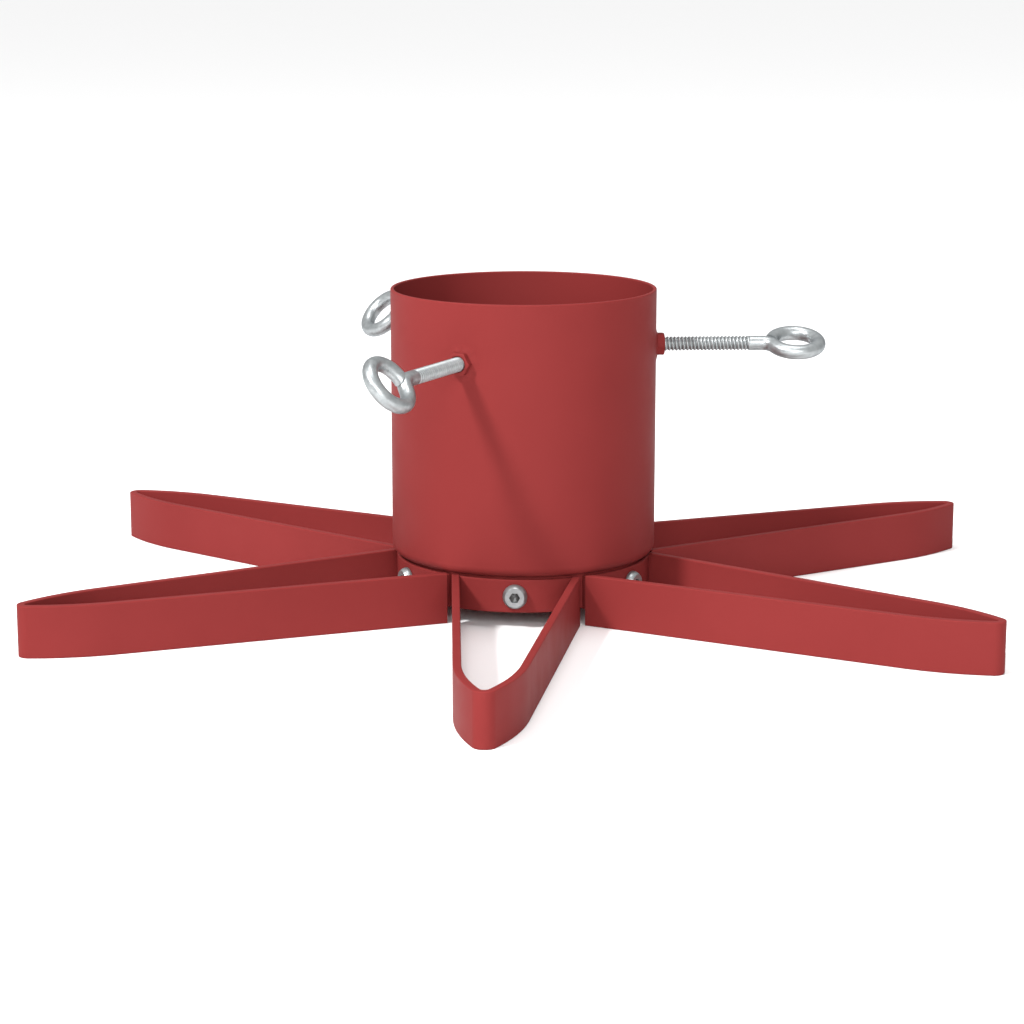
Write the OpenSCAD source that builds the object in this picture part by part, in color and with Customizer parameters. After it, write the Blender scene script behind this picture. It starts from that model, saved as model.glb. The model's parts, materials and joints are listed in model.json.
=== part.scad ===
// Christmas tree stand: a round steel cup on six flat-bar loop legs, with three clamping eye bolts.
// Millimetres. The origin is on the floor under the cup's axis, +Z is up, and leg 1 points along -Y.

/* [Cup] */
// Outside diameter of the cup
cup_od = 116; // [110:1:124]
// Sheet thickness of the cup wall
cup_wall = 1.6; // [1.2:0.1:2.4]
// Height of the rim above the floor
rim_height = 139; // [120:1:180]
// Outside radius of the rolled edge at the foot of the cup
foot_radius = 4; // [3:0.5:6]

/* [Legs] */
// Distance from the cup's axis to the tip of a leg
leg_reach = 230.6; // [215:0.1:260]
// Height of the flat bar, which stands on its edge
bar_height = 22; // [18:0.5:30]
// Thickness of the flat bar
bar_thick = 3.3; // [2.5:0.1:4]
// Half the width over a loop's outer faces, where it starts at the cup
root_half_width = 27.5; // [26:0.1:28]
// Angle at which each side of a loop closes in, in degrees
side_taper = 5.2; // [4.8:0.1:5.4]
// Outside radius of the long bend that leads to the tip
flank_radius = 100; // [80:1:120]
// Outside radius of the bend at the tip
tip_radius = 5; // [4:0.1:7]

/* [Ring and plates] */
// Height of the curved plate of a leg
plate_height = 14.4; // [13:0.1:15]
// Thickness of the curved plate
plate_thick = 2; // [1.5:0.1:3]
// Wall thickness of the ring under the cup
ring_wall = 2.5; // [2:0.1:4]

/* [Leg screws] */
// Thread diameter of a leg screw
screw_d = 6; // [5:0.5:6]
// Diameter of a leg screw's button head
screw_head_d = 10.5; // [9:0.1:11]
// Height of a leg screw's button head
screw_head_h = 3.3; // [2.5:0.1:3.5]

/* [Eye bolts] */
// Diameter of the eye bolt's rod
rod_d = 6.3; // [6:0.1:6.6]
// Height of the eye bolts' axes above the floor
bolt_height = 113.7; // [100:0.1:116]
// Angle of the first eye bolt round the cup, in degrees
bolt_phase = 7; // [0:0.5:20]
// Radius of the eye, to the middle of the rod
eye_radius = 10.2; // [9:0.1:11]
// Distance from the cup's axis to the middle of each eye
eye_reach = 119.7; // [118:0.1:124]
// How far each eye is turned about its own bolt, in degrees
eye_turns = [16, 133, 129]; // [0:1:360]
// Width across the flats of the weld nut
weld_nut_af = 9.2; // [9:0.1:10]

/* [Hidden] */
$fn = 96;
eps = 0.01;
bore_fn = 48;
rad_deg = 180 / PI;
// where two runs of one bent rod meet, the first is thinner by a hair and laps into the next
hair = 0.03;
lap = 0.3;

// cup
cup_r = cup_od / 2;
cup_inner_r = cup_r - cup_wall;
cup_base_z = bar_height + 0.4;
flange_inner_r = 46;
floor_thick = 2;
floor_z = cup_base_z + cup_wall;
floor_r = cup_inner_r - 0.3;
floor_edge = foot_radius - cup_wall;

// legs: each side is a straight line, then a long bend, then the tip bend, all tangent
leg_count = 6;
root_s = 50;
tip_s = leg_reach - tip_radius;
side_normal = [sin(side_taper), cos(side_taper)];
// where the straight side meets the long bend, from the long bend being tangent to the tip bend
root_outer = [root_s, root_half_width];
side_dir = [cos(side_taper), -sin(side_taper)];
bend_gap = flank_radius - tip_radius;
from_tip = root_outer - flank_radius * side_normal - [tip_s, 0];
along = from_tip * side_dir;
side_length = -along - sqrt(along * along - from_tip * from_tip + bend_gap * bend_gap);
flank_start = root_outer + side_length * side_dir;
flank_centre = flank_start - flank_radius * side_normal;
to_tip = [tip_s, 0] - flank_centre;
tip_angle = atan2(to_tip.y, to_tip.x);
flank_steps = 8;
tip_steps = 6;

// ring and plates
plate_outer_r = cup_r - 2;
ring_r = plate_outer_r - plate_thick;
ring_z = bar_height - 0.6 - plate_height;
plate_half_angle = 28.6;
screw_z = ring_z + plate_height / 2;
screw_hole_r = screw_d / 2 + 0.3;
screw_end_x = 43.5;
nut_af = 10;
nut_h = 5;
nut_face_x = ring_r - ring_wall - 0.35;
socket_af = 4;
socket_depth = 2;
head_flat_r = 4.1;
head_edge_h = 1;
// the button head is a ball through its flat's edge and its rim's edge
head_ball_x = (head_flat_r ^ 2 + screw_head_h ^ 2 - (screw_head_d / 2) ^ 2 - head_edge_h ^ 2)
    / (2 * (screw_head_h - head_edge_h));
head_ball_r = norm([head_flat_r, screw_head_h - head_ball_x]);

// eye bolts
bolt_count = 3;
rod_r = rod_d / 2;
neck_r = rod_r - hair;
shank_r = rod_r - 2 * hair;
run_clear = 0.05;
weld_nut_out = cup_r + 3.8;
wall_hole_r = rod_r + 0.35;
point_in = cup_inner_r + 0.6;
point_length = 1.7;
point_r = 2.3;
shank_in = point_in + point_length + 0.3;
neck_bend_r = 6;
neck_bend_angle = acos(neck_bend_r / (eye_radius + neck_bend_r));
neck_end = eye_reach - (eye_radius + neck_bend_r) * sin(neck_bend_angle);
eye_gap_angle = 16;

// places: a part is drawn along +X and turned to its own station round the cup
function leg_angle(i) = -90 + (i - 1) * 360 / leg_count;
function bolt_angle(i) = bolt_phase + (i - 1) * 360 / bolt_count;

module at_leg(i) {
    rotate([0, 0, leg_angle(i)]) children();
}

module at_bolt(i) {
    translate([0, 0, bolt_height]) rotate([0, 0, bolt_angle(i)]) children();
}

// a rod or a bore along X, from x0 to x1
module rod_x(r, x0, x1) {
    translate([x0, 0, 0]) rotate([0, 90, 0]) cylinder(r = r, h = x1 - x0, $fn = bore_fn);
}

// a hexagonal bar along X with flats above and below
module hex_x(across_flats, x0, x1) {
    translate([x0, 0, 0]) rotate([0, 90, 0]) rotate([0, 0, 30])
        cylinder(r = across_flats / 2 / cos(30), h = x1 - x0, $fn = 6);
}

// half the section of a round tub with a rolled edge at its foot
module tub_section(r, bottom, top, edge) {
    translate([0, bottom + edge]) square([r, top - bottom - edge]);
    translate([0, bottom]) square([r - edge, top - bottom]);
    translate([r - edge, bottom + edge]) circle(r = edge);
}

// the cup's wall, whose foot is rolled in to a flat flange
module cup_wall() {
    color("firebrick")
    difference() {
        rotate_extrude() difference() {
            tub_section(cup_r, cup_base_z, rim_height, foot_radius);
            tub_section(cup_inner_r, floor_z, rim_height + 1, foot_radius - cup_wall);
            translate([0, cup_base_z - 1]) square([flange_inner_r, cup_wall + 2]);
        }
        for (i = [1 : bolt_count]) at_bolt(i) rod_x(wall_hole_r, cup_inner_r - 4, cup_r + 4);
    }
}

// the disc that the trunk stands on, with its rim inside the rolled edge
module cup_floor() {
    color("firebrick")
    translate([0, 0, floor_z]) rotate_extrude() difference() {
        square([floor_r, floor_thick]);
        translate([floor_r - floor_edge, 0]) difference() {
            square([floor_edge + 1, floor_edge]);
            translate([0, floor_edge]) circle(r = floor_edge);
        }
    }
}

// the ring under the cup, that the six leg plates are screwed to
module base_ring() {
    color("firebrick")
    difference() {
        rotate_extrude() translate([ring_r - ring_wall, ring_z])
            square([ring_wall, cup_base_z - ring_z]);
        for (i = [1 : leg_count]) at_leg(i)
            translate([0, 0, screw_z]) rod_x(screw_hole_r, ring_r - 6, ring_r + 4);
    }
}

// points along an arc, both ends included
function arc(centre, radius, from, to, steps) =
    [for (k = [0 : steps]) let (a = from + (to - from) * k / steps)
        centre + radius * [cos(a), sin(a)]];

// one side of a loop in plan, from the cup to the tip, at a distance inside its outer face
function loop_side(inset) = concat(
    [root_outer - inset * side_normal],
    arc(flank_centre, flank_radius - inset, 90 - side_taper, tip_angle, flank_steps),
    // the two bends share their first point
    [for (k = [1 : tip_steps]) arc([tip_s, 0], tip_radius - inset, tip_angle, 0, tip_steps)[k]]
);

function reversed(list) = [for (k = [len(list) - 1 : -1 : 0]) list[k]];
function mirrored(list) = [for (p = list) if (p.y > eps) [p.x, -p.y]];
function loop_line(inset) = concat(loop_side(inset), reversed(mirrored(loop_side(inset))));

// a leg: one flat bar bent into a long loop, both ends welded to its curved plate
module leg_loop(i) {
    color("firebrick")
    at_leg(i) difference() {
        linear_extrude(bar_height)
            polygon(concat(loop_line(0), reversed(loop_line(bar_thick))));
        translate([0, 0, -1]) cylinder(r = plate_outer_r, h = bar_height + 2);
    }
}

module leg_plate(i) {
    color("firebrick")
    at_leg(i) difference() {
        rotate([0, 0, -plate_half_angle]) rotate_extrude(angle = 2 * plate_half_angle)
            translate([ring_r, ring_z]) square([plate_thick, plate_height]);
        translate([0, 0, screw_z]) rod_x(screw_hole_r, ring_r - 4, plate_outer_r + 4);
    }
}

// a button head screw with a hexagon socket
module leg_screw(i) {
    color("silver")
    at_leg(i) translate([plate_outer_r, 0, screw_z]) rotate([0, 90, 0]) difference() {
        rotate_extrude() {
            translate([0, screw_end_x - plate_outer_r])
                square([screw_d / 2, plate_outer_r - screw_end_x + 1]);
            intersection() {
                square([screw_head_d / 2, screw_head_h]);
                translate([0, head_ball_x]) circle(r = head_ball_r);
            }
        }
        translate([0, 0, screw_head_h - socket_depth]) rotate([0, 0, 30])
            cylinder(r = socket_af / 2 / cos(30), h = socket_depth + 1, $fn = 6);
    }
}

module leg_nut(i) {
    color("silver")
    at_leg(i) translate([0, 0, screw_z]) difference() {
        hex_x(nut_af, nut_face_x - nut_h, nut_face_x);
        rod_x(screw_d / 2 + run_clear, nut_face_x - nut_h - 1, nut_face_x + 1);
    }
}

// a nut welded over a hole in the cup wall, its inner face shaped to the wall
module weld_nut(i) {
    color("firebrick")
    at_bolt(i) difference() {
        intersection() {
            hex_x(weld_nut_af, cup_r - 2, weld_nut_out);
            // the chamfer round the nut's outer corners
            translate([weld_nut_out - 0.25 * weld_nut_af - 4, 0, 0]) rotate([0, 90, 0])
                cylinder(r1 = weld_nut_af + 2.4, r2 = weld_nut_af / 2, h = 0.25 * weld_nut_af + 4);
        }
        translate([0, 0, -weld_nut_af]) cylinder(r = cup_r, h = 2 * weld_nut_af, $fn = 180);
        rod_x(shank_r + run_clear, cup_r - 4, weld_nut_out + 1);
    }
}

// the eye bolt: shank, neck bend and eye, bent from one rod
module eye_bolt(i) {
    lead_angle = 90 - neck_bend_angle;
    lap_angle = lap / neck_bend_r * rad_deg;
    color("silver")
    at_bolt(i) rotate([eye_turns[i - 1], 0, 0]) {
        rod_x(shank_r, shank_in, neck_end + lap);
        translate([neck_end, -neck_bend_r, 0]) rotate([0, 0, lead_angle - lap_angle])
            rotate_extrude(angle = neck_bend_angle + lap_angle) translate([neck_bend_r, 0])
                circle(r = neck_r, $fn = bore_fn);
        translate([eye_reach, 0, 0]) rotate([0, 0, 180 + lead_angle])
            rotate_extrude(angle = 360 - eye_gap_angle - lead_angle) translate([eye_radius, 0])
                circle(r = rod_r, $fn = bore_fn);
    }
}

// the plain point that presses on the trunk
module bolt_point(i) {
    color("silver")
    at_bolt(i) rod_x(point_r, point_in, point_in + point_length);
}

cup_wall();
cup_floor();
base_ring();
leg_loop(1);  // leg_loop_1
leg_loop(2);  // leg_loop_2
leg_loop(3);  // leg_loop_3
leg_loop(4);  // leg_loop_4
leg_loop(5);  // leg_loop_5
leg_loop(6);  // leg_loop_6
leg_plate(1);  // leg_plate_1
leg_plate(2);  // leg_plate_2
leg_plate(3);  // leg_plate_3
leg_plate(4);  // leg_plate_4
leg_plate(5);  // leg_plate_5
leg_plate(6);  // leg_plate_6
leg_screw(1);  // leg_screw_1
leg_screw(2);  // leg_screw_2
leg_screw(3);  // leg_screw_3
leg_screw(4);  // leg_screw_4
leg_screw(5);  // leg_screw_5
leg_screw(6);  // leg_screw_6
leg_nut(1);  // leg_nut_1
leg_nut(2);  // leg_nut_2
leg_nut(3);  // leg_nut_3
leg_nut(4);  // leg_nut_4
leg_nut(5);  // leg_nut_5
leg_nut(6);  // leg_nut_6
weld_nut(1);  // weld_nut_1
weld_nut(2);  // weld_nut_2
weld_nut(3);  // weld_nut_3
eye_bolt(1);  // eye_bolt_1
eye_bolt(2);  // eye_bolt_2
eye_bolt(3);  // eye_bolt_3
bolt_point(1);  // bolt_point_1
bolt_point(2);  // bolt_point_2
bolt_point(3);  // bolt_point_3
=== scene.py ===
"""A steel Christmas tree stand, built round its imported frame. Metres, +Z up, leg 1 along -Y."""

import json
import math

import bmesh
import bpy
from mathutils import Matrix, Vector


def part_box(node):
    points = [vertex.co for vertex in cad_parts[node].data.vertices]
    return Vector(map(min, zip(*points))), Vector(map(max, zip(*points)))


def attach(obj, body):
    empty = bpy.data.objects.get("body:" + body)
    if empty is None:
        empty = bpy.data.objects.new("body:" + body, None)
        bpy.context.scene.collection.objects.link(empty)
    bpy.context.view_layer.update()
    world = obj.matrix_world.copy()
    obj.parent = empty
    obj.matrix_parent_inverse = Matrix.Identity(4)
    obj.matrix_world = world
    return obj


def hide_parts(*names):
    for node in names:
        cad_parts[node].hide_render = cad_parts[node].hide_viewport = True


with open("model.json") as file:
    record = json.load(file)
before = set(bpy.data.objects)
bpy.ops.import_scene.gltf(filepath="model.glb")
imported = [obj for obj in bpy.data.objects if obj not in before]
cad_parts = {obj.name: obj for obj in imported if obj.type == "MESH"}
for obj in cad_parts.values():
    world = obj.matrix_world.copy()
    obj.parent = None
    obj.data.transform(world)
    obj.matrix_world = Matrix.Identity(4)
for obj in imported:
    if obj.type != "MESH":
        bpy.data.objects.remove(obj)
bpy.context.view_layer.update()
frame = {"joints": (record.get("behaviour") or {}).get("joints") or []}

MM = 0.001
TURN = 2 * math.pi
STAND = "stand"
LEGS = 6
BOLTS = 3
FIRST_LEG = math.radians(-90)
CUP_STEPS = 256
ROUND_STEPS = 48
ROUND_ANGLES = [TURN * k / ROUND_STEPS for k in range(ROUND_STEPS)]
DRILL_PAST = 6 * MM

# cup: its outside is the CAD wall's
CUP_LOW, CUP_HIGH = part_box("cup_wall")
CUP_R = CUP_HIGH.x
SHEET = 1.6 * MM
FOOT_BEND = 4 * MM
FLANGE_R = 46 * MM
FLANGE_EDGE = 0.3 * MM
RIM_EDGE = 0.55 * MM
WALL_HOLE_R = 3.5 * MM

# floor disc: its section runs from a small circle at its middle out to its edge
DISC_MIDDLE_R = 1 * MM
DISC_BEND = 1.8 * MM
DISC_EDGE = 0.08 * MM
DISC_GUARD = 0.05 * MM

# leg loops
BAR_H = 22 * MM
BAR_T = 3.3 * MM
BAR_EDGE = 0.45 * MM
LEG_REACH = -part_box("leg_loop_1")[0].y
ROOT = Vector((50 * MM, 27.5 * MM))
TAPER = math.radians(5.2)
FLANK_BEND = 100 * MM
TIP_BEND = 5 * MM
SIDE_STEPS = 6
FLANK_STEPS = 16
TIP_STEPS = 13

# ring under the cup, and the plates screwed to it
PLATE_R = 56 * MM
PLATE_T = 2 * MM
PLATE_LOW = 7 * MM
PLATE_H = 14.4 * MM
PLATE_HALF = math.radians(28.6)
PLATE_EDGE = 0.5 * MM
PLATE_STEPS = 40
RING_WALL = 2.5 * MM

# leg screws and their nuts, along +X from the plate's outer face
SCREW_Z = PLATE_LOW + PLATE_H / 2
SCREW_R = 3 * MM
SCREW_HOLE_R = 3.3 * MM
SCREW_END = -12.5 * MM
SCREW_PITCH = 1 * MM
SCREW_ROOT_R = 2.5 * MM
SCREW_TIP_R = 2.2 * MM
HEAD_R = 5.25 * MM
HEAD_H = 3.3 * MM
HEAD_FLAT_R = 4.1 * MM
HEAD_EDGE = 1.0 * MM
HEAD_TAIL = 0.5 * MM
SEAT_EDGE = 0.25 * MM
SEAT_RISE = 0.2 * MM
DOME_STEPS = 8
SOCKET_AF = 4 * MM
SOCKET_DEEP = 2 * MM
SOCKET_LIP = 0.25 * MM
SOCKET_EDGE = 0.1 * MM
SOCKET_EDGE_TOP = 0.03 * MM
SOCKET_EDGE_LOW = 0.15 * MM
SOCKET_POINT = 0.5 * MM
SOCKET_POINT_R = 0.4 * MM
LEG_NUT_AF = 10 * MM
LEG_NUT_FACE = -4.85 * MM
LEG_NUT_H = 5 * MM
LEG_NUT_BORE = 2.9 * MM

# what every hexagon nut has
NUT_STEPS = 72
NUT_FLAT_SHARE = 0.96
NUT_CHAMFER = math.radians(30)
NUT_EDGE = 0.05 * MM
NUT_SINK = 0.35 * MM

# weld nuts on the cup, along +X from its axis
WELD_NUT_AF = 9.2 * MM
WELD_NUT_IN = CUP_R - 1 * MM
WELD_NUT_OUT = 61.8 * MM
WELD_NUT_BORE = 3.2 * MM
WELD_STEPS = 96
WELD_WIDE = 4.2 * MM
WELD_HIGH = 0.8 * MM
WELD_UNDER = 0.3 * MM
# the weld's slope: share of its width from the nut, share of its height
WELD_SLOPE = [(0, -0.6), (0, 1), (0.15, 0.8), (0.3, 0.55)]
WELD_SLOPE += [(0.5, 0.26), (0.7, 0.09), (0.85, 0.02), (1, -0.06)]

# eye bolts, along +X from the cup's axis
ROD_R = 3.15 * MM
POINT_IN = 57.0 * MM
POINT_OUT = 59.2 * MM
POINT_R = 2.3 * MM
POINT_EDGE = 0.5 * MM
POINT_BULGE = 0.15 * MM
THREAD_IN = 59.0 * MM
THREAD_OUT = 99.8 * MM
THREAD_PITCH = 1.6 * MM
THREAD_ROOT_R = 2.6 * MM
THREAD_OVERLAP = 0.4 * MM
ROD_START = 1.5 * MM
NECK_GUARD = 1 * MM
NECK_BEND = 6 * MM
NECK_STEPS = 14
EYE_R = 10.2 * MM
EYE_AT = 119.7 * MM
EYE_STEPS = 72
EYE_TURNS = [math.radians(a) for a in (16, 133, 129)]
MITRE_FACING = math.radians(50.5)
MITRE_BITE = 0.4 * MM

# threads: steps, and where a flank starts and ends, in pitches from the middle of the root
THREAD_SIDES = 36
THREAD_ROWS = 8
ROOT_FLAT = 0.06
CREST_START = 0.42
MERGE_WITHIN = 0.002 * MM

# red paint: its colour drifts between two reds; pattern scales are per metre
DEEP_RED = (0.164, 0.0212, 0.0204, 1)
PALE_RED = (0.182, 0.0240, 0.0232, 1)
RED_SHINE = 0.04
RED_ROUGH = (0.50, 0.58)
RED_CLOUDS = 14.0
RED_HAZE = 60.0
RED_PEEL = 650.0
RED_PEEL_STRENGTH = 0.12

# zinc: its colour drifts between two greys, with painted shade where the surface is hollow
DARK_ZINC = (0.30, 0.32, 0.325, 1)
PALE_ZINC = (0.40, 0.42, 0.425, 1)
# painted shade: the dark colour that the hollows of the thread are given
HOLLOW_SHADE = (0.045, 0.045, 0.043, 1)
SHADE_FULL_BELOW = 0.44
SHADE_GONE_ABOVE = 0.505
ZINC_METAL = 0.8
ZINC_TINT = (0.5, 0.52, 0.55, 1)
ZINC_ROUGH = (0.32, 0.42)
ZINC_MOTTLE = 420.0
ZINC_HAZE = 900.0
ZINC_GRAIN = 1600.0
ZINC_GRAIN_STRENGTH = 0.15
BUMP_DEEP = 0.1 * MM

# studio
PALE_FLOOR = (0.9, 0.9, 0.9, 1)
PALE_FLOOR_ROUGH = 0.9
PALE_FLOOR_HALF = 20.0
WHITE = (1, 1, 1, 1)
SKY_POWER = 0.6
LIT_POINT = Vector((0, 0, 0.08))
LAMP_REACH = 2.5
KEY_WAY = Vector((-0.523, -0.483, 0.701))
KEY_SIZE = 0.35
KEY_POWER = 72
FILL_WAY = Vector((0.1, -0.93, 0.36))
FILL_SIZE = 1.6
FILL_POWER = 42
CEILING_POWER = 1.4
CEILING_SPREAD = math.radians(25)
CAMERA_AT = (0.0727, -1.1611, 0.2899)
CAMERA_TURN = math.radians(3.831)
CAMERA_DOWN = math.radians(12.178)
CAMERA_LENS = 94.35
CAMERA_SENSOR = 36


# ---- places ----


def bolt_joint(k):
    """The joint that bolt k turns on."""
    return next(j for j in frame["joints"] if j["name"] == f"bolt_{k}_turn")


# all three bolts are at one height
BOLT_Z = bolt_joint(1)["pos_m"][2]


def bolt_angle(k):
    """Which way bolt k points out from the cup. Its joint's axis points in."""
    axis = bolt_joint(k)["axis"]
    return math.atan2(-axis[1], -axis[0])


def bolt_place(k):
    """Moves what is made along +X from the origin to where bolt k is."""
    return Matrix.Translation((0, 0, BOLT_Z)) @ Matrix.Rotation(bolt_angle(k), 4, "Z")


def screw_place(k):
    """Moves what is made along +X from the origin to where leg screw k is, counted from 0."""
    turn = Matrix.Rotation(FIRST_LEG + TURN * k / LEGS, 4, "Z")
    return turn @ Matrix.Translation((0, 0, SCREW_Z))


# ---- node trees ----


def add(tree, kind, inputs=None, **settings):
    """A node, its settings, and its inputs: a socket is linked and a plain value is set."""
    made = tree.nodes.new(kind)
    for name, value in settings.items():
        setattr(made, name, value)
    for name, value in (inputs or {}).items():
        if isinstance(value, bpy.types.NodeSocket):
            tree.links.new(value, made.inputs[name])
        else:
            made.inputs[name].default_value = value
    return made


def calc(tree, operation, *values, clamp=False):
    """One step of arithmetic on sockets or numbers."""
    made = add(
        tree, "ShaderNodeMath", dict(enumerate(values)), operation=operation, use_clamp=clamp
    )
    return made.outputs[0]


def new_shape_tree(name, inputs):
    """A Geometry Nodes tree with named inputs, and the sockets at its start and end."""
    tree = bpy.data.node_groups.new(name, "GeometryNodeTree")
    face = tree.interface
    face.new_socket("Geometry", in_out="INPUT", socket_type="NodeSocketGeometry")
    for label, kind in inputs.items():
        face.new_socket(label, in_out="INPUT", socket_type="NodeSocket" + kind)
    face.new_socket("Geometry", in_out="OUTPUT", socket_type="NodeSocketGeometry")
    start = tree.nodes.new("NodeGroupInput")
    end = tree.nodes.new("NodeGroupOutput")
    return tree, start.outputs, end.inputs


def finish_tree(tree, shape, paint, end):
    """Real mesh with its paint on, which is how every tree ends."""
    real = add(tree, "GeometryNodeRealizeInstances", {"Geometry": shape})
    painted = add(tree, "GeometryNodeSetMaterial", {"Geometry": real.outputs[0], "Material": paint})
    tree.links.new(painted.outputs[0], end["Geometry"])


def bar_tree():
    """Sweeps a bar's section along the line it is bent to."""
    tree, given, end = new_shape_tree(
        "bent_bar", {"Section": "Object", "Middle Height": "Float", "Paint": "Material"}
    )
    upright = add(tree, "GeometryNodeSetCurveNormal", {"Curve": given["Geometry"]}, mode="Z_UP")
    section = add(tree, "GeometryNodeObjectInfo", {"Object": given["Section"]})
    swept = add(
        tree,
        "GeometryNodeCurveToMesh",
        {
            "Curve": upright.outputs[0],
            "Profile Curve": section.outputs["Geometry"],
            "Fill Caps": True,
        },
    )
    height = add(tree, "ShaderNodeCombineXYZ", {"Z": given["Middle Height"]})
    lifted = add(
        tree,
        "GeometryNodeTransform",
        {"Geometry": swept.outputs[0], "Translation": height.outputs[0]},
    )
    smooth = add(tree, "GeometryNodeSetShadeSmooth", {"Geometry": lifted.outputs[0]})
    finish_tree(tree, smooth.outputs[0], given["Paint"], end)
    return tree


def round_tree():
    """Repeats one part at even stations round the cup's axis."""
    tree, given, end = new_shape_tree(
        "round_the_cup", {"Count": "Int", "First Angle": "Float", "Paint": "Material"}
    )
    stations = add(tree, "GeometryNodePoints", {"Count": given["Count"]})
    index = add(tree, "GeometryNodeInputIndex").outputs[0]
    step = calc(tree, "DIVIDE", TURN, given["Count"])
    angle = calc(tree, "MULTIPLY_ADD", index, step, given["First Angle"])
    turned_by = add(tree, "ShaderNodeCombineXYZ", {"Z": angle})
    placed = add(
        tree,
        "GeometryNodeInstanceOnPoints",
        {
            "Points": stations.outputs[0],
            "Instance": given["Geometry"],
            "Rotation": turned_by.outputs[0],
        },
    )
    finish_tree(tree, placed.outputs[0], given["Paint"], end)
    return tree


def thread_tree():
    """A right-hand screw thread along X: rows of points that follow the helix, clipped at both ends."""
    tree, given, end = new_shape_tree(
        "screw_thread",
        {
            "Inner End": "Float",
            "Outer End": "Float",
            "Pitch": "Float",
            "Crest Radius": "Float",
            "Root Radius": "Float",
            "Tip Radius": "Float",
            "Steps Round": "Int",
            "Steps In Pitch": "Int",
            "Paint": "Material",
        },
    )
    # the rows start one turn before the inner end and stop one turn past the outer end
    length = calc(tree, "SUBTRACT", given["Outer End"], given["Inner End"])
    turns = calc(tree, "ADD", calc(tree, "DIVIDE", length, given["Pitch"]), 2.0)
    rows = calc(tree, "CEIL", calc(tree, "MULTIPLY", turns, given["Steps In Pitch"]))
    columns = calc(tree, "ADD", given["Steps Round"], 1.0)
    grid = add(tree, "GeometryNodeMeshGrid", {"Vertices X": rows, "Vertices Y": columns})
    index = add(tree, "GeometryNodeInputIndex").outputs[0]
    row = calc(tree, "FLOOR", calc(tree, "DIVIDE", calc(tree, "ADD", index, 0.5), columns))
    column = calc(tree, "SUBTRACT", index, calc(tree, "MULTIPLY", row, columns))
    row_turn = calc(tree, "DIVIDE", row, given["Steps In Pitch"])
    round_turn = calc(tree, "DIVIDE", column, given["Steps Round"])
    along = calc(tree, "SUBTRACT", calc(tree, "ADD", row_turn, round_turn), 1.0)
    free = calc(tree, "MULTIPLY_ADD", along, given["Pitch"], given["Inner End"])
    place = calc(
        tree, "MINIMUM", calc(tree, "MAXIMUM", free, given["Inner End"]), given["Outer End"]
    )
    wave = calc(tree, "PINGPONG", row_turn, 0.5)
    ridge = add(
        tree,
        "ShaderNodeMapRange",
        {
            "Value": wave,
            "From Min": ROOT_FLAT,
            "From Max": CREST_START,
            "To Min": given["Root Radius"],
            "To Max": given["Crest Radius"],
        },
        interpolation_type="SMOOTHSTEP",
    ).outputs[0]
    # the thread starts from a chamfered tip and runs out into the plain rod
    from_tip = calc(tree, "SUBTRACT", place, given["Inner End"])
    tip = calc(tree, "DIVIDE", from_tip, given["Pitch"], clamp=True)
    tipped = add(
        tree, "ShaderNodeMix", {"Factor": tip, "A": given["Tip Radius"], "B": ridge}
    ).outputs[0]
    to_rod = calc(tree, "SUBTRACT", given["Outer End"], place)
    rod = calc(tree, "DIVIDE", to_rod, given["Pitch"], clamp=True)
    radius = add(
        tree, "ShaderNodeMix", {"Factor": rod, "A": given["Crest Radius"], "B": tipped}
    ).outputs[0]
    angle = calc(tree, "MULTIPLY", round_turn, TURN)
    point = add(
        tree,
        "ShaderNodeCombineXYZ",
        {
            "X": place,
            "Y": calc(tree, "MULTIPLY", radius, calc(tree, "COSINE", angle)),
            "Z": calc(tree, "MULTIPLY", radius, calc(tree, "SINE", angle)),
        },
    )
    shaped = add(
        tree,
        "GeometryNodeSetPosition",
        {"Geometry": grid.outputs["Mesh"], "Position": point.outputs[0]},
    )
    closed = add(
        tree,
        "GeometryNodeMergeByDistance",
        {"Geometry": shaped.outputs[0], "Distance": MERGE_WITHIN},
    )
    smooth = add(tree, "GeometryNodeSetShadeSmooth", {"Geometry": closed.outputs[0]})
    finish_tree(tree, smooth.outputs[0], given["Paint"], end)
    return tree


def run_tree(source, tree, name, values):
    """The plain mesh that a tree makes from an object. The object is used up."""
    maker = source.modifiers.new(tree.name, "NODES")
    maker.node_group = tree
    for item in tree.interface.items_tree:
        if item.in_out == "INPUT" and item.name in values:
            maker[item.identifier] = values[item.name]
    mesh = seen_mesh(name, source)
    bpy.data.objects.remove(source)
    return mesh


# ---- mesh helpers ----


def link(name, data):
    """An object in the scene for a mesh, curve, light or camera."""
    made = bpy.data.objects.new(name, data)
    bpy.context.scene.collection.objects.link(made)
    return made


def seen_mesh(name, piece):
    """A plain mesh of what an object is once its modifiers have run."""
    bpy.context.view_layer.update()
    seen = piece.evaluated_get(bpy.context.evaluated_depsgraph_get())
    mesh = bpy.data.meshes.new_from_object(seen)
    mesh.name = name
    return mesh


def line_object(name, points, cyclic=False):
    """A straight-segment curve through points that are already in place."""
    curve = bpy.data.curves.new(name, "CURVE")
    curve.dimensions = "3D"
    spline = curve.splines.new("POLY")
    spline.points.add(len(points) - 1)
    for spot, at in zip(spline.points, points):
        spot.co = (*at, 0, 1)
    spline.use_cyclic_u = cyclic
    return link(name, curve)


def arc(centre, radius, start, stop, steps):
    """Points along an arc, both ends included."""
    angles = [start + (stop - start) * k / steps for k in range(steps + 1)]
    return [centre + radius * Vector((math.cos(a), math.sin(a))) for a in angles]


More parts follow.
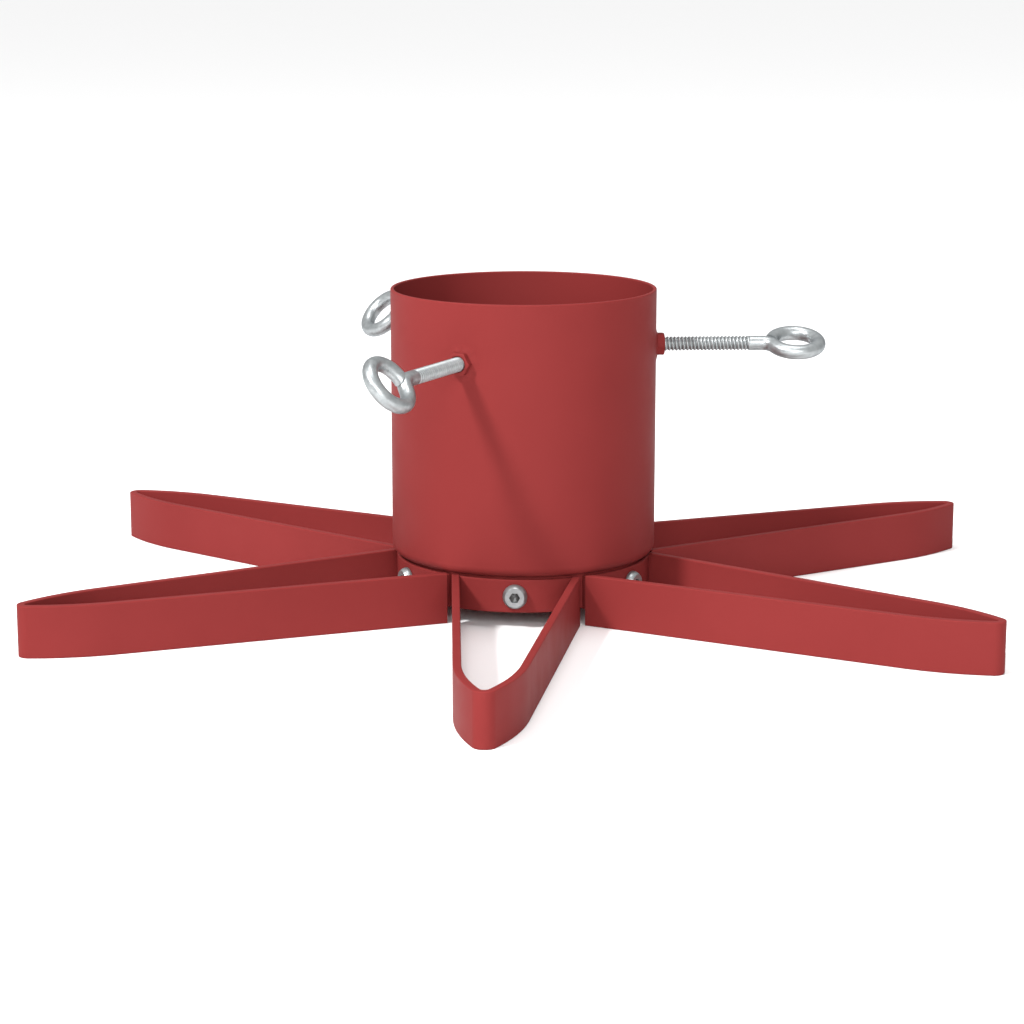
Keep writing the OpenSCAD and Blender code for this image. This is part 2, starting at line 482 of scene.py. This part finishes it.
def rounded(corners, steps=5, guard=0.25 * MM):
    """A closed outline with each (x, y, radius) corner rounded. A point kept just outside each
    bend leaves the flats flat when they are shaded smooth."""
    outline = []
    count = len(corners)
    for k, (x, y, radius) in enumerate(corners):
        here = Vector((x, y))
        if radius <= 0:
            outline.append(here)
            continue
        before = (Vector(corners[k - 1][:2]) - here).normalized()
        after = (Vector(corners[(k + 1) % count][:2]) - here).normalized()
        half = math.acos(before.dot(after)) / 2
        reach = radius / math.tan(half)
        middle = here + (before + after).normalized() * radius / math.sin(half)
        first = here + before * reach
        last = here + after * reach
        start = first - middle
        turn = start.angle_signed(last - middle)
        outline.append(first + before * guard)
        for step in range(steps + 1):
            outline.append(middle + Matrix.Rotation(-turn * step / steps, 2) @ start)
        outline.append(last + after * guard)
    return outline


def circle(radius, z, angles=ROUND_ANGLES):
    """A ring of points round the Z axis."""
    return [(radius * math.cos(a), radius * math.sin(a), z) for a in angles]


def rod_circle(radius, x):
    """A ring of points round the X axis."""
    return [(x, radius * math.cos(a), radius * math.sin(a)) for a in ROUND_ANGLES]


def along_x(rings):
    """Turns rings made along +Z to lie along +X."""
    return [[(z, y, -x) for x, y, z in ring] for ring in rings]


def skin(name, rings, loop=False):
    """Quads between rings of equal count. The ends are capped, or joined where loop is true."""
    shape = bmesh.new()
    made = [[shape.verts.new(p) for p in ring] for ring in rings]
    count = len(made[0])
    pairs = list(zip(made, made[1:])) + ([(made[-1], made[0])] if loop else [])
    for one, other in pairs:
        for k in range(count):
            n = (k + 1) % count
            shape.faces.new((one[k], one[n], other[n], other[k]))
    if not loop:
        shape.faces.new(made[0])
        shape.faces.new(made[-1])
    bmesh.ops.recalc_face_normals(shape, faces=shape.faces)
    mesh = bpy.data.meshes.new(name)
    shape.to_mesh(mesh)
    shape.free()
    return mesh


def turned(name, section, loop=True):
    """A section of (radius, height) points, turned once round Z."""
    angles = [TURN * k / CUP_STEPS for k in range(CUP_STEPS)]
    return skin(name, [circle(r, z, angles) for r, z in section], loop)


def joined(name, meshes):
    """One mesh of several."""
    shape = bmesh.new()
    for mesh in meshes:
        shape.from_mesh(mesh)
    made = bpy.data.meshes.new(name)
    shape.to_mesh(made)
    shape.free()
    return made


def close_ends(mesh):
    """Caps what is open and points every face outwards."""
    shape = bmesh.new()
    shape.from_mesh(mesh)
    open_edges = [e for e in shape.edges if e.is_boundary]
    if open_edges:
        bmesh.ops.holes_fill(shape, edges=open_edges)
    bmesh.ops.recalc_face_normals(shape, faces=shape.faces)
    shape.to_mesh(mesh)
    shape.free()


def soft_mesh(mesh, sharp=35):
    """Smooth shading, with corners sharper than this many degrees kept sharp."""
    mesh.shade_smooth()
    mesh.set_sharp_from_angle(angle=math.radians(sharp))
    return mesh


def cut_away(name, mesh, tool):
    """What is left of one closed mesh when another is cut from it."""
    piece = link(name, mesh)
    cutter = link("cutter", tool)
    cut = piece.modifiers.new("cut", "BOOLEAN")
    cut.operation = "DIFFERENCE"
    cut.solver = "EXACT"
    cut.object = cutter
    left = seen_mesh(name, piece)
    bpy.data.objects.remove(piece)
    bpy.data.objects.remove(cutter)
    return soft_mesh(left)


def drill(radius, reach, place):
    """A plain cutter along X, through a wall at this distance from the axis."""
    ends = [reach - DRILL_PAST, reach + DRILL_PAST]
    mesh = skin("drill", [rod_circle(radius, x) for x in ends])
    mesh.transform(place)
    return mesh


def hexagon(across, angle):
    """Distance from the middle of a hexagon to its side, in one direction."""
    sixth = TURN / 6
    return across / 2 / math.cos((angle + sixth / 2) % sixth - sixth / 2)


def hex_ring(across, z, angles=ROUND_ANGLES):
    """A hexagon's outline, with as many points as a circle's."""
    reaches = [(hexagon(across, a), a) for a in angles]
    return [(r * math.cos(a), r * math.sin(a), z) for r, a in reaches]


def coat(name, mesh, paint, slot, body, *nodes):
    """A finished piece: its paint, the body it rides on, and the CAD nodes it stands for. The
    slot argument is not used."""
    mesh.materials.clear()
    mesh.materials.append(paint)
    piece = link(name, mesh)
    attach(piece, body)
    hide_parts(*nodes)


def repeat(mesh, name, count, first, paint, slot, nodes):
    """A part made once, repeated round the cup as one piece on the stand."""
    values = {"Count": count, "First Angle": first, "Paint": paint}
    whole = run_tree(link("unit", mesh), ROUND_THE_CUP, name, values)
    coat(name, whole, paint, slot, STAND, *[f"{nodes}{k}" for k in range(1, count + 1)])


# ---- finishes ----


def finish_nodes(name):
    """A new finish: its material, its nodes, its shader, and the place on the piece."""
    made = bpy.data.materials.new(name)
    made.use_nodes = True
    tree = made.node_tree
    shader = tree.nodes["Principled BSDF"]
    place = add(tree, "ShaderNodeTexCoord").outputs["Object"]
    return made, tree, shader, place


def noise(tree, place, scale, detail=3.0):
    """Soft random spots, this many to the metre."""
    inputs = {"Vector": place, "Scale": scale, "Detail": detail, "Roughness": 0.5}
    return add(tree, "ShaderNodeTexNoise", inputs).outputs["Fac"]


def spread(tree, value, low, high, start=0.3, stop=0.7):
    """Maps start..stop, or a noise's middle range, to low..high."""
    inputs = {"Value": value, "From Min": start, "From Max": stop, "To Min": low, "To Max": high}
    return add(tree, "ShaderNodeMapRange", inputs).outputs[0]


def blend(tree, share, first, second):
    """A colour between two, each a value or a socket."""
    mix = add(tree, "ShaderNodeMix", {"Factor": share}, data_type="RGBA")
    for name, colour in (("A", first), ("B", second)):
        socket = next(i for i in mix.inputs if i.name == name and i.type == "RGBA")
        if isinstance(colour, bpy.types.NodeSocket):
            tree.links.new(colour, socket)
        else:
            socket.default_value = colour
    return next(o for o in mix.outputs if o.type == "RGBA")


def relief(tree, shader, place, scale, strength):
    """Fine bumps all over the surface."""
    height = noise(tree, place, scale, detail=2.0)
    bump = add(
        tree, "ShaderNodeBump", {"Height": height, "Strength": strength, "Distance": BUMP_DEEP}
    )
    tree.links.new(bump.outputs[0], shader.inputs["Normal"])


def red_powder_coat():
    """Baked red paint: faint orange peel, slight cloudiness in the colour and the gloss."""
    made, tree, shader, place = finish_nodes("red_powder_coat")
    shader.inputs["Specular IOR Level"].default_value = RED_SHINE
    cloud = spread(tree, noise(tree, place, RED_CLOUDS), 0.0, 1.0)
    tree.links.new(blend(tree, cloud, DEEP_RED, PALE_RED), shader.inputs["Base Color"])
    gloss = spread(tree, noise(tree, place, RED_HAZE), *RED_ROUGH)
    tree.links.new(gloss, shader.inputs["Roughness"])
    relief(tree, shader, place, RED_PEEL, RED_PEEL_STRENGTH)
    return made


def zinc_plate():
    """Dull zinc on steel: soft mottling, fine grain, and painted shade darkening the hollows of the
    thread.
    """
    made, tree, shader, place = finish_nodes("zinc_plate")
    shader.inputs["Metallic"].default_value = ZINC_METAL
    shader.inputs["Specular Tint"].default_value = ZINC_TINT
    mottle = spread(tree, noise(tree, place, ZINC_MOTTLE), 0.0, 1.0)
    unshaded = blend(tree, mottle, DARK_ZINC, PALE_ZINC)
    # painted shade: the colour darkens where the surface is hollow, as in the thread's roots
    hollow = add(tree, "ShaderNodeNewGeometry").outputs["Pointiness"]
    raised = spread(tree, hollow, 0.0, 1.0, start=SHADE_FULL_BELOW, stop=SHADE_GONE_ABOVE)
    tree.links.new(blend(tree, raised, HOLLOW_SHADE, unshaded), shader.inputs["Base Color"])
    gloss = spread(tree, noise(tree, place, ZINC_HAZE), *ZINC_ROUGH)
    tree.links.new(gloss, shader.inputs["Roughness"])
    relief(tree, shader, place, ZINC_GRAIN, ZINC_GRAIN_STRENGTH)
    return made


RED = red_powder_coat()
ZINC = zinc_plate()
BENT_BAR = bar_tree()
ROUND_THE_CUP = round_tree()
SCREW_THREAD = thread_tree()


# ---- cup ----


def cup_wall():
    """Wall, rolled foot and flange from one sheet, with a hole under each weld nut."""
    low = CUP_LOW.z
    high = CUP_HIGH.z
    section = rounded(
        [
            (CUP_R, low, FOOT_BEND),
            (CUP_R, high, RIM_EDGE),
            (CUP_R - SHEET, high, RIM_EDGE),
            (CUP_R - SHEET, low + SHEET, FOOT_BEND - SHEET),
            (FLANGE_R, low + SHEET, FLANGE_EDGE),
            (FLANGE_R, low, FLANGE_EDGE),
        ],
        steps=8,
    )
    holes = [drill(WALL_HOLE_R, CUP_R, bolt_place(k)) for k in range(1, BOLTS + 1)]
    mesh = cut_away("cup", turned("cup", section), joined("holes", holes))
    coat("cup", mesh, RED, "red_paint", STAND, "cup_wall")


def cup_floor():
    """The disc that the trunk stands on, rounded under its edge to sit in the foot's bend."""
    low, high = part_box("cup_floor")
    section = rounded(
        [
            (DISC_MIDDLE_R, low.z, 0),
            (high.x, low.z, DISC_BEND),
            (high.x, high.z, DISC_EDGE),
            (DISC_MIDDLE_R, high.z, 0),
        ],
        steps=6,
        guard=DISC_GUARD,
    )
    mesh = soft_mesh(turned("cup_floor_disc", section, loop=False))
    coat("cup_floor_disc", mesh, RED, "red_paint", STAND, "cup_floor")


def collar():
    """The ring under the cup that the legs are screwed to."""
    low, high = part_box("base_ring")
    inner = high.x - RING_WALL
    corners = [(high.x, low.z), (high.x, high.z), (inner, high.z), (inner, low.z)]
    section = rounded([(*c, PLATE_EDGE) for c in corners], steps=4)
    holes = [drill(SCREW_HOLE_R, high.x, screw_place(k)) for k in range(LEGS)]
    mesh = cut_away("collar", turned("collar", section), joined("holes", holes))
    coat("collar", mesh, RED, "red_paint", STAND, "base_ring")


# ---- legs ----


def loop_half(inset):
    """One side of a loop in plan, at a distance inside its outer face, from the cup to the tip."""
    across = Vector((math.sin(TAPER), math.cos(TAPER)))
    along = Vector((math.cos(TAPER), -math.sin(TAPER)))
    tip = Vector((LEG_REACH - TIP_BEND, 0))
    gap = FLANK_BEND - TIP_BEND
    from_tip = ROOT - FLANK_BEND * across - tip
    ahead = from_tip.dot(along)
    straight = -ahead - math.sqrt(ahead * ahead - from_tip.length_squared + gap * gap)
    centre = ROOT + straight * along - FLANK_BEND * across
    to_tip = tip - centre
    turn = math.atan2(to_tip.y, to_tip.x)
    start = ROOT - inset * across
    bend = arc(centre, FLANK_BEND - inset, math.radians(90) - TAPER, turn, FLANK_STEPS)
    nose = arc(tip, TIP_BEND - inset, turn, 0, TIP_STEPS)[1:]
    side = [start + (bend[0] - start) * k / SIDE_STEPS for k in range(SIDE_STEPS)]
    return side + bend + nose


def bent_bar(name, line, thick, high, edge, middle_height):
    """A flat bar on its edge, bent along a line in plan."""
    corners = [(thick / 2, -high / 2), (thick / 2, high / 2)]
    corners += [(-thick / 2, high / 2), (-thick / 2, -high / 2)]
    outline = rounded([(*c, edge) for c in corners], steps=4)
    section = line_object(name + "_section", outline, cyclic=True)
    values = {"Section": section, "Middle Height": middle_height, "Paint": RED}
    mesh = run_tree(line_object(name + "_line", line), BENT_BAR, name, values)
    bpy.data.objects.remove(section)
    close_ends(mesh)
    return mesh


def leg_loops():
    """Flat bars bent to a loop. Both ends are cut to sit on the round plate."""
    half = loop_half(BAR_T / 2)
    line = half + [Vector((p.x, -p.y)) for p in reversed(half[:-1])]
    bar = bent_bar("loop", line, BAR_T, BAR_H, BAR_EDGE, BAR_H / 2)
    core = turned("core", [(PLATE_R, -BAR_H), (PLATE_R, 2 * BAR_H)], loop=False)
    loop = cut_away("loop", bar, core)
    repeat(loop, "leg_loops", LEGS, FIRST_LEG, RED, "red_paint", "leg_loop_")


def leg_plates():
    """Curved plates between the ends of each loop, drilled for the screw."""
    line = arc(Vector((0, 0)), PLATE_R - PLATE_T / 2, PLATE_HALF, -PLATE_HALF, PLATE_STEPS)
    bar = bent_bar("plate", line, PLATE_T, PLATE_H, PLATE_EDGE, SCREW_Z)
    hole = drill(SCREW_HOLE_R, PLATE_R, Matrix.Translation((0, 0, SCREW_Z)))
    plate = cut_away("plate", bar, hole)
    repeat(plate, "leg_plates", LEGS, FIRST_LEG, RED, "red_paint", "leg_plate_")


# ---- screws and nuts ----


def socket_head():
    """A button head with a hexagon socket, along +X from its seat."""
    rise = HEAD_H - HEAD_EDGE
    ball = (HEAD_FLAT_R**2 + HEAD_H**2 - HEAD_R**2 - HEAD_EDGE**2) / (2 * rise)
    ball_r = math.hypot(HEAD_FLAT_R, HEAD_H - ball)
    section = [(SCREW_R, -HEAD_TAIL), (HEAD_R - SEAT_EDGE, 0), (HEAD_R, SEAT_RISE)]
    first = math.asin((HEAD_EDGE - ball) / ball_r)
    last = math.asin((HEAD_H - ball) / ball_r)
    for k in range(DOME_STEPS + 1):
        a = first + (last - first) * k / DOME_STEPS
        section.append((ball_r * math.cos(a), ball + ball_r * math.sin(a)))
    socket_r = SOCKET_AF / 2 / math.cos(TURN / 12)
    section.append((socket_r + SOCKET_LIP, HEAD_H))
    bottom = HEAD_H - SOCKET_DEEP
    rings = [circle(r, z) for r, z in section]
    rings.append(hex_ring(SOCKET_AF + SOCKET_EDGE, HEAD_H - SOCKET_EDGE_TOP))
    rings.append(hex_ring(SOCKET_AF, HEAD_H - SOCKET_EDGE_LOW))
    rings.append(hex_ring(SOCKET_AF, bottom))
    rings.append(circle(SOCKET_POINT_R, bottom - SOCKET_POINT))
    return skin("screw_head", along_x(rings))


def screw_thread(name, inner, outer, pitch, crest, root, tip):
    """A closed length of zinc-plated thread along X."""
    values = {
        "Inner End": inner,
        "Outer End": outer,
        "Pitch": pitch,
        "Crest Radius": crest,
        "Root Radius": root,
        "Tip Radius": tip,
        "Steps Round": THREAD_SIDES,
        "Steps In Pitch": THREAD_ROWS,
        "Paint": ZINC,
    }
    seed = link("thread_seed", bpy.data.meshes.new("thread_seed"))
    mesh = run_tree(seed, SCREW_THREAD, name, values)
    close_ends(mesh)
    return mesh


def leg_screws():
    """Button head screws, one through the middle of each plate."""
    shank = screw_thread(
        "screw_shank", SCREW_END, 0.0, SCREW_PITCH, SCREW_R, SCREW_ROOT_R, SCREW_TIP_R
    )
    mesh = joined("screw", [socket_head(), shank])
    mesh.transform(Matrix.Translation((PLATE_R, 0, SCREW_Z)))
    screw = soft_mesh(mesh, sharp=40)
    repeat(screw, "leg_screws", LEGS, FIRST_LEG, ZINC, "zinc", "leg_screw_")


def nut_end(across, bore, z, way, chamfered):
    """One end of a nut: rings from inside its bore to its side. Way is 1 at the inner end and -1
    at the outer."""
    angles = [TURN * (k + 0.5) / NUT_STEPS for k in range(NUT_STEPS)]
    flat_r = across / 2 * NUT_FLAT_SHARE
    slope = math.tan(NUT_CHAMFER) if chamfered else 0
    throat = circle(bore, z + way * NUT_SINK, angles)
    mouth = circle(bore + NUT_SINK, z, angles)
    flat = circle(flat_r, z, angles)
    shoulder = []
    for a in angles:
        r = hexagon(across, a)
        drop = (r - flat_r) * slope + NUT_EDGE
        shoulder.append((r * math.cos(a), r * math.sin(a), z + way * drop))
    return [throat, mouth, flat, shoulder]


def hex_nut(name, across, bore, inner, outer, chamfer_inner):
    """A hexagon nut along X with a countersunk bore. Its outer end is always chamfered."""
    rings = nut_end(across, bore, inner, 1, chamfer_inner)
    rings += reversed(nut_end(across, bore, outer, -1, True))
    return skin(name, along_x(rings), loop=True)


def leg_nuts():
    """Loose nuts inside the ring, one on each leg screw."""
    inner = LEG_NUT_FACE - LEG_NUT_H
    mesh = hex_nut("nut", LEG_NUT_AF, LEG_NUT_BORE, inner, LEG_NUT_FACE, True)
    mesh.transform(Matrix.Translation((PLATE_R, 0, SCREW_Z)))
    nut = soft_mesh(mesh, sharp=25)
    repeat(nut, "leg_nuts", LEGS, FIRST_LEG, ZINC, "zinc", "leg_nut_")


def weld_bead():
    """The low, slightly uneven weld round a nut, lying on the round wall."""
    rings = []
    for share, high in WELD_SLOPE:
        ring = []
        for k in range(WELD_STEPS):
            a = TURN * k / WELD_STEPS
            # uneven by less than a tenth
            ripple = 1 + 0.05 * math.sin(11 * a) + 0.04 * math.sin(17 * a + 1)
            r = hexagon(WELD_NUT_AF, a) - WELD_UNDER + WELD_WIDE * share * ripple
            y = r * math.sin(a)
            lift = WELD_HIGH * high * (ripple if 0 < share < 1 else 1)
            ring.append((math.sqrt(CUP_R**2 - y * y) + lift, y, r * math.cos(a)))
        rings.append(ring)
    base = [(x - WELD_UNDER, y, z) for x, y, z in rings[-1]]
    return skin("weld_bead", rings + [base], loop=True)


def weld_nuts():
    """Nuts welded to the cup's wall and painted with it."""
    nut = hex_nut("weld_nut", WELD_NUT_AF, WELD_NUT_BORE, WELD_NUT_IN, WELD_NUT_OUT, False)
    mesh = joined("weld_nut", [nut, weld_bead()])
    mesh.transform(Matrix.Translation((0, 0, BOLT_Z)))
    weld_nut = soft_mesh(mesh, sharp=40)
    repeat(weld_nut, "weld_nuts", BOLTS, bolt_angle(1), RED, "red_paint", "weld_nut_")


# ---- eye bolts ----


def mitre_angle(from_neck, radius):
    """How far round the eye a line at this radius runs before it reaches the flat of the mitre,
    which lies against the outside of the neck bend."""
    facing = Vector((math.cos(MITRE_FACING), math.sin(MITRE_FACING)))
    away = NECK_BEND + ROD_R - MITRE_BITE
    reach = (away - facing.dot(from_neck)) / radius
    return MITRE_FACING + math.acos(reach) + TURN


def rod_ring(centre, way):
    """Round the rod at one place, with way pointing across the rod in the eye's plane."""
    ring = []
    for side in ROUND_ANGLES:
        out = ROD_R * math.cos(side)
        ring.append((centre.x + way.x * out, centre.y + way.y * out, ROD_R * math.sin(side)))
    return ring


def bent_eye():
    """Plain rod, neck bend and eye from one rod, in the bolt's own XY plane. The cut end is
    mitred to lie against the neck."""
    lean = math.acos(NECK_BEND / (EYE_R + NECK_BEND))
    neck_end = EYE_AT - (EYE_R + NECK_BEND) * math.sin(lean)
    neck = Vector((neck_end, -NECK_BEND))
    eye = Vector((EYE_AT, 0))
    rings = []
    for x in (THREAD_OUT - THREAD_OVERLAP, THREAD_OUT + ROD_START, neck_end - NECK_GUARD):
        rings.append(rod_ring(Vector((x, 0)), Vector((0, 1))))
    for k in range(NECK_STEPS + 1):
        a = math.radians(90) - lean * k / NECK_STEPS
        way = Vector((math.cos(a), math.sin(a)))
        rings.append(rod_ring(neck + NECK_BEND * way, way))
    # every line along the rod has its own end, where it meets the mitre
    start = math.radians(270) - lean
    radii = [EYE_R - ROD_R * math.cos(side) for side in ROUND_ANGLES]
    stops = [mitre_angle(eye - neck, radius) for radius in radii]
    for k in range(1, EYE_STEPS + 1):
        ring = []
        for side, radius, stop in zip(ROUND_ANGLES, radii, stops):
            a = start + (stop - start) * k / EYE_STEPS
            x = eye.x + radius * math.cos(a)
            ring.append((x, eye.y + radius * math.sin(a), ROD_R * math.sin(side)))
        rings.append(ring)
    return skin("bent_eye", rings)


def eye_bolt(k):
    """Threaded rod and bent eye, turned about the bolt as it stands at rest."""
    name = f"eye_bolt_rod_{k}"
    thread = screw_thread(
        "bolt_thread", THREAD_IN, THREAD_OUT, THREAD_PITCH, ROD_R, THREAD_ROOT_R, THREAD_ROOT_R
    )
    mesh = joined(name, [thread, bent_eye()])
    mesh.transform(bolt_place(k) @ Matrix.Rotation(EYE_TURNS[k - 1], 4, "X"))
    coat(name, soft_mesh(mesh, sharp=50), ZINC, "zinc", f"eye_{k}", f"eye_bolt_{k}")


def bolt_tip(k):
    """The plain point that presses on the trunk."""
    name = f"bolt_tip_{k}"
    section = [
        (POINT_R - POINT_EDGE, POINT_IN),
        (POINT_R - POINT_BULGE, POINT_IN + POINT_BULGE),
        (POINT_R, POINT_IN + POINT_EDGE),
        (POINT_R, POINT_OUT),
    ]
    mesh = skin(name, [rod_circle(r, x) for r, x in section])
    mesh.transform(bolt_place(k))
    coat(name, soft_mesh(mesh), ZINC, "zinc", f"point_{k}", f"bolt_point_{k}")


# ---- studio ----


def studio_floor():
    """A plain pale floor."""
    made = bpy.data.materials.new("pale_floor")
    made.use_nodes = True
    shader = made.node_tree.nodes["Principled BSDF"]
    shader.inputs["Base Color"].default_value = PALE_FLOOR
    shader.inputs["Roughness"].default_value = PALE_FLOOR_ROUGH
    size = PALE_FLOOR_HALF
    corners = [(-size, -size, 0), (size, -size, 0), (size, size, 0), (-size, size, 0)]
    mesh = bpy.data.meshes.new("studio_floor")
    mesh.from_pydata(corners, [], [(0, 1, 2, 3)])
    mesh.materials.append(made)
    link("studio_floor", mesh)


def softbox(name, way, size, power):
    """A round lamp at the same distance as the others, turned to the stand."""
    light = bpy.data.lights.new(name, "AREA")
    light.shape = "DISK"
    light.size = size
    light.energy = power
    at = LIT_POINT + LAMP_REACH * way
    facing = (LIT_POINT - at).to_track_quat("-Z", "Y").to_matrix().to_4x4()
    link(name, light).matrix_world = Matrix.Translation(at) @ facing


def studio_lights():
    """Even light from all round, and a key from the upper left that throws the bolt's shadow."""
    world = bpy.data.worlds.new("studio")
    bpy.context.scene.world = world
    world.use_nodes = True
    sky = world.node_tree.nodes["Background"]
    sky.inputs["Color"].default_value = WHITE
    sky.inputs["Strength"].default_value = SKY_POWER
    softbox("key", KEY_WAY, KEY_SIZE, KEY_POWER)
    softbox("fill", FILL_WAY, FILL_SIZE, FILL_POWER)
    ceiling = bpy.data.lights.new("ceiling", "SUN")
    ceiling.energy = CEILING_POWER
    ceiling.angle = CEILING_SPREAD
    link("ceiling", ceiling)


def camera():
    """Looks down at the stand from in front and slightly to the right of leg 1."""
    data = bpy.data.cameras.new("camera")
    data.lens = CAMERA_LENS
    data.sensor_width = CAMERA_SENSOR
    view = link("camera", data)
    view.matrix_world = (
        Matrix.Translation(CAMERA_AT)
        @ Matrix.Rotation(CAMERA_TURN, 4, "Z")
        @ Matrix.Rotation(math.radians(90) - CAMERA_DOWN, 4, "X")
    )
    bpy.context.scene.camera = view


camera()
studio_floor()
studio_lights()
bpy.context.scene.view_settings.view_transform = "Standard"

cup_wall()
cup_floor()
collar()
leg_loops()
leg_plates()
leg_screws()
leg_nuts()
weld_nuts()
for number in range(1, BOLTS + 1):
    eye_bolt(number)
    bolt_tip(number)
